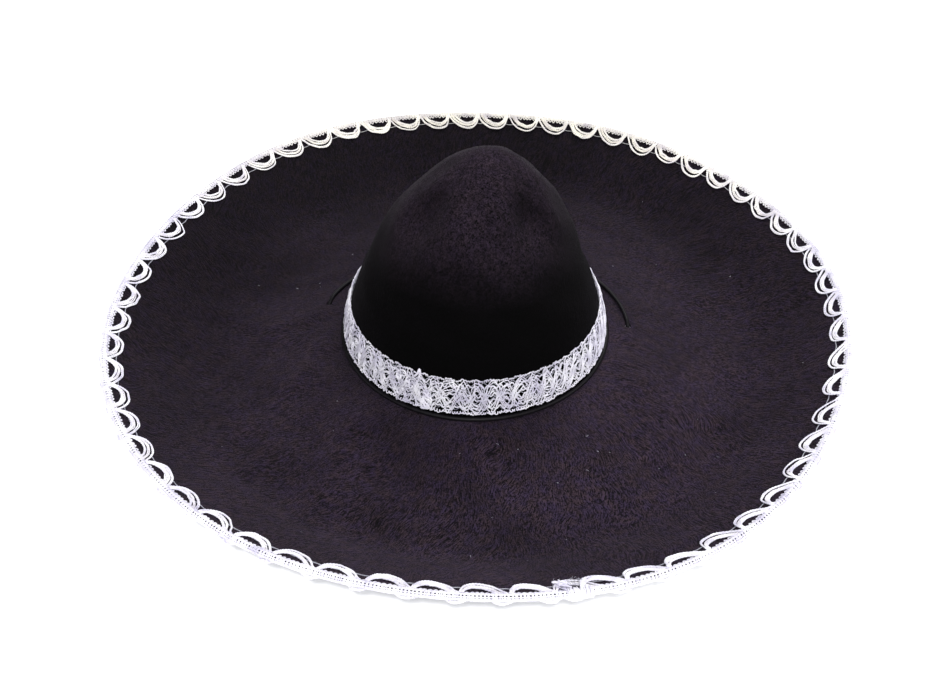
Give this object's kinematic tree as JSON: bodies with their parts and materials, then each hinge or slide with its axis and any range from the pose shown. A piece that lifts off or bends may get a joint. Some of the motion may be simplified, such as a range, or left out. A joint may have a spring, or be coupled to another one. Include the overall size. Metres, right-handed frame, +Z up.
{
  "type": "sombrero",
  "caption": "Wide-brimmed felt hat with a pinched, cone-shaped crown, a turned-up edge with looped lace braid, a lace band and a chin cord with a slide.",
  "frame": {"origin": "on the table that the brim rests on, under the middle of the rim", "axes": "+Z up through the crown, the front of the hat (the pinched side) faces -Y, the wearer's left is +X"},
  "size_m": [0.5462, 0.5462, 0.1696],
  "materials": {
    "crown_felt": "matte black wool felt, short fuzz",
    "brim_felt": "matte black felt with a combed nap",
    "lace_silver": "silver-white metallic crochet yarn",
    "lace_cream": "cream-white crochet yarn",
    "thread": "grey polyester thread",
    "cord_black": "round black satin cord",
    "sweatband_leather": "black imitation leather, fine grain",
    "sweatband_tape": "black grosgrain",
    "slide_leather": "dark brown stacked leather, waxed",
    "wire_steel": "spring steel wire"
  },
  "bodies": {
    "hat": {"crown": "crown_felt", "brim": "brim_felt", "crown_seam_stitches": "thread", "sweatband": "sweatband_leather", "sweatband_joint_tape": "sweatband_tape", "sweatband_stitches": "thread", "brim_wire": "wire_steel", "brim_wire_sleeve": "wire_steel", "trim_heading": "lace_silver", "trim_outer_loops": "lace_silver", "trim_middle_loops": "lace_cream", "trim_inner_loops": "lace_silver", "trim_link_yarn": "thread", "trim_under_loops": "lace_silver", "trim_stitches": "thread", "trim_end_whipping": "lace_silver", "hat_band_tape": "lace_silver", "hat_band_core_cords": "lace_silver", "hat_band_upper_loops": "lace_silver", "hat_band_lower_loops": "lace_silver", "hat_band_lap": "lace_silver", "hat_band_tacks": "thread", "chin_cord_wrap": "cord_black", "chin_cord_left": "cord_black", "chin_cord_right": "cord_black", "chin_knot": "cord_black"},
    "cord_slide": {"chin_slide": "slide_leather"}
  },
  "joints": [
    {"name": "slide_travel", "type": "slide", "parent": "hat", "child": "cord_slide", "axis": [0, 1, 0], "range_m": [-0.036, 0.058]}
  ]
}
